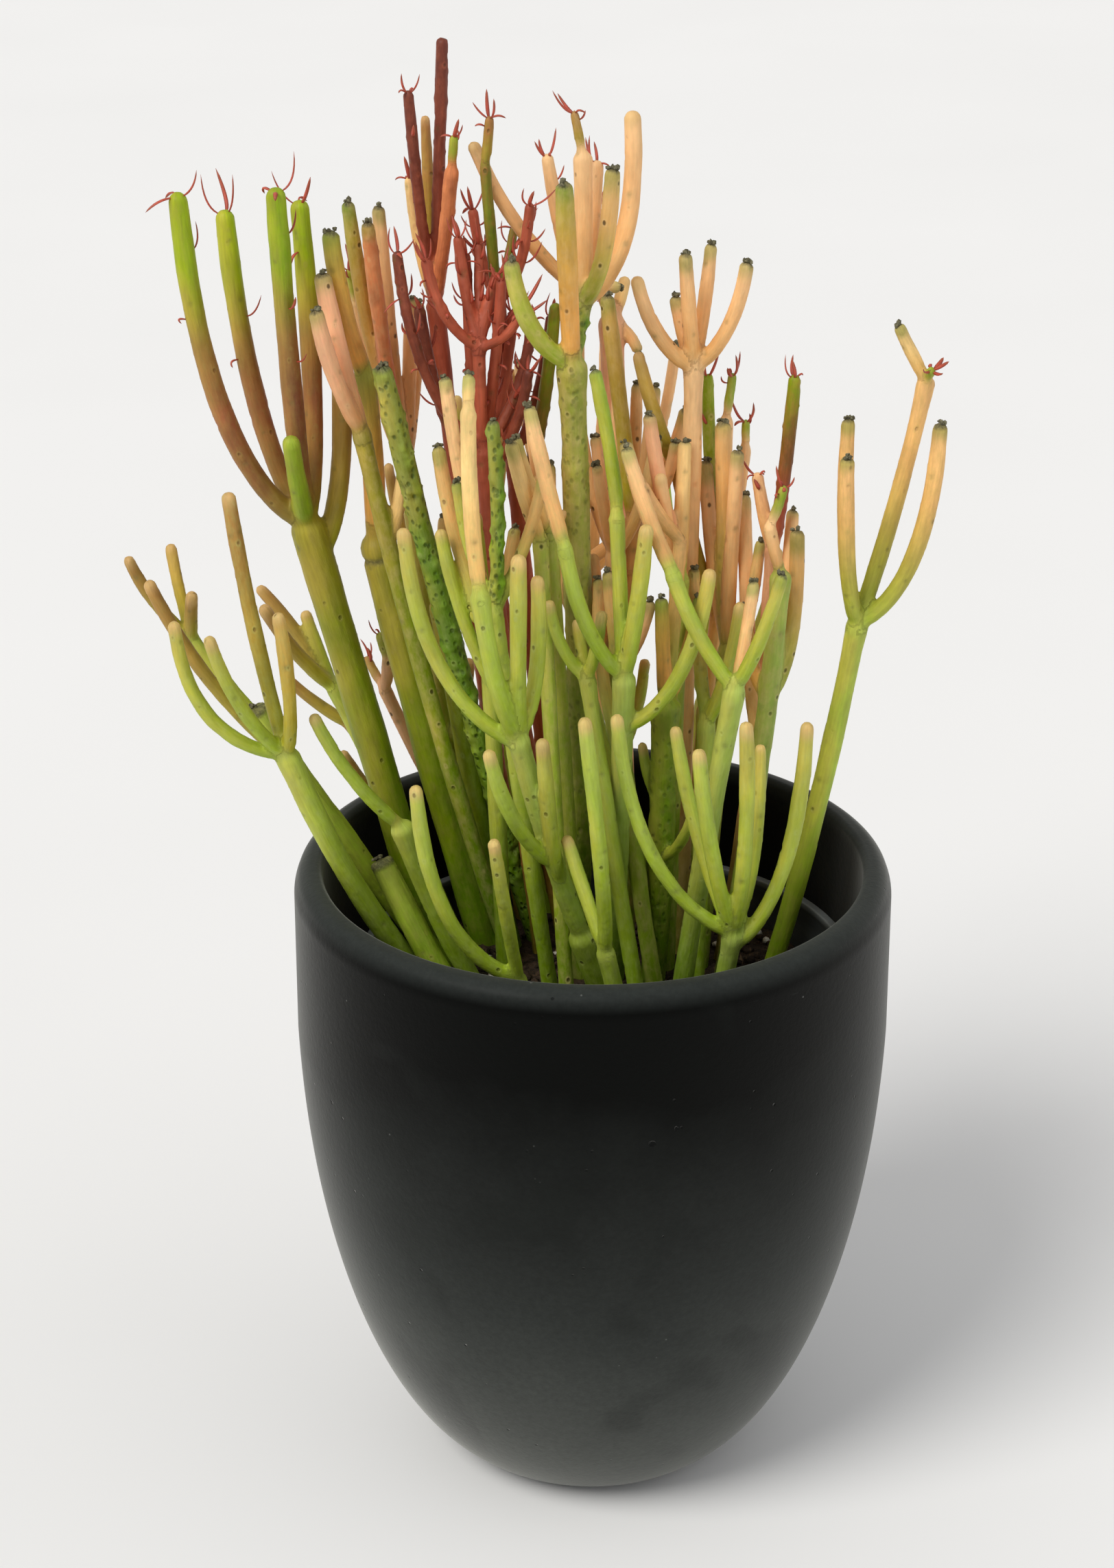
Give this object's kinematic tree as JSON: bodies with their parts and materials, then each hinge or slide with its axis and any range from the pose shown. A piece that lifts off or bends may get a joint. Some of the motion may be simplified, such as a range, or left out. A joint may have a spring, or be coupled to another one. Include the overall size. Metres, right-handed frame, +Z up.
{
  "type": "potted pencil euphorbia",
  "caption": "Potted firestick euphorbia: upright clumps of pencil-like lime, peach and red shoots rooted in a nursery pot inside an egg-shaped matt black planter.",
  "frame": {"origin": "centre of the planter's flat base, on the floor", "axes": "+Z up, the planter's axis; -Y towards the viewer of the picture; +X to their right"},
  "size_m": [0.2886, 0.2339, 0.532],
  "materials": {
    "planter_shell": "matt charcoal black cast stone, finely pitted",
    "pot_plastic": "thin dark grey plastic with a lighter worn rim",
    "soil": "dark crumbly potting mix with white perlite",
    "green_stem": "waxy lime green succulent stem with pale tips",
    "olive_stem": "waxy olive succulent stem, red-brown above",
    "peach_stem": "waxy peach and cream succulent stem, green below",
    "red_stem": "waxy coral and maroon succulent stem"
  },
  "bodies": {
    "root": {"planter": "planter_shell", "nursery_pot": "pot_plastic", "potting_soil": "soil", "stem_left_tall": "olive_stem", "stem_left_low": "green_stem", "stem_left_stub": "olive_stem", "stem_left_back": "olive_stem", "stem_left_inner": "green_stem", "stem_cut_stub": "olive_stem", "stem_bud_twig": "peach_stem", "stem_thick_left": "olive_stem", "stem_pink_pair": "peach_stem", "stem_warty": "green_stem", "stem_front_left": "green_stem", "stem_front_centre": "green_stem", "stem_centre_tall": "peach_stem", "stem_centre_whorl": "green_stem", "stem_green_left": "green_stem", "stem_peach_front": "peach_stem", "stem_front_v": "green_stem", "stem_front_right": "green_stem", "stem_right_v": "green_stem", "stem_knotted": "olive_stem", "stem_right_tall": "olive_stem", "stem_right_pair": "peach_stem", "stem_right_slender": "red_stem", "stem_right_mid": "peach_stem", "stem_right_whorl": "peach_stem", "stem_peach_centre": "peach_stem", "stem_centre_back": "peach_stem", "stem_red_front": "red_stem", "stem_red_tall": "red_stem", "stem_red_centre": "red_stem", "stem_peach_left": "peach_stem", "stem_mid_left": "green_stem", "stem_mid_right": "green_stem", "stem_mid_back": "peach_stem", "stem_lean_peach": "peach_stem", "stem_right_peaches": "peach_stem", "stem_right_column": "peach_stem", "stem_salmon_back": "peach_stem", "stem_low_peach": "peach_stem", "stem_left_mass": "green_stem", "stem_red_low": "red_stem", "stem_low_v": "green_stem", "stem_back_left": "olive_stem", "stem_back_mid": "peach_stem", "stem_back_right": "green_stem"}
  },
  "joints": []
}
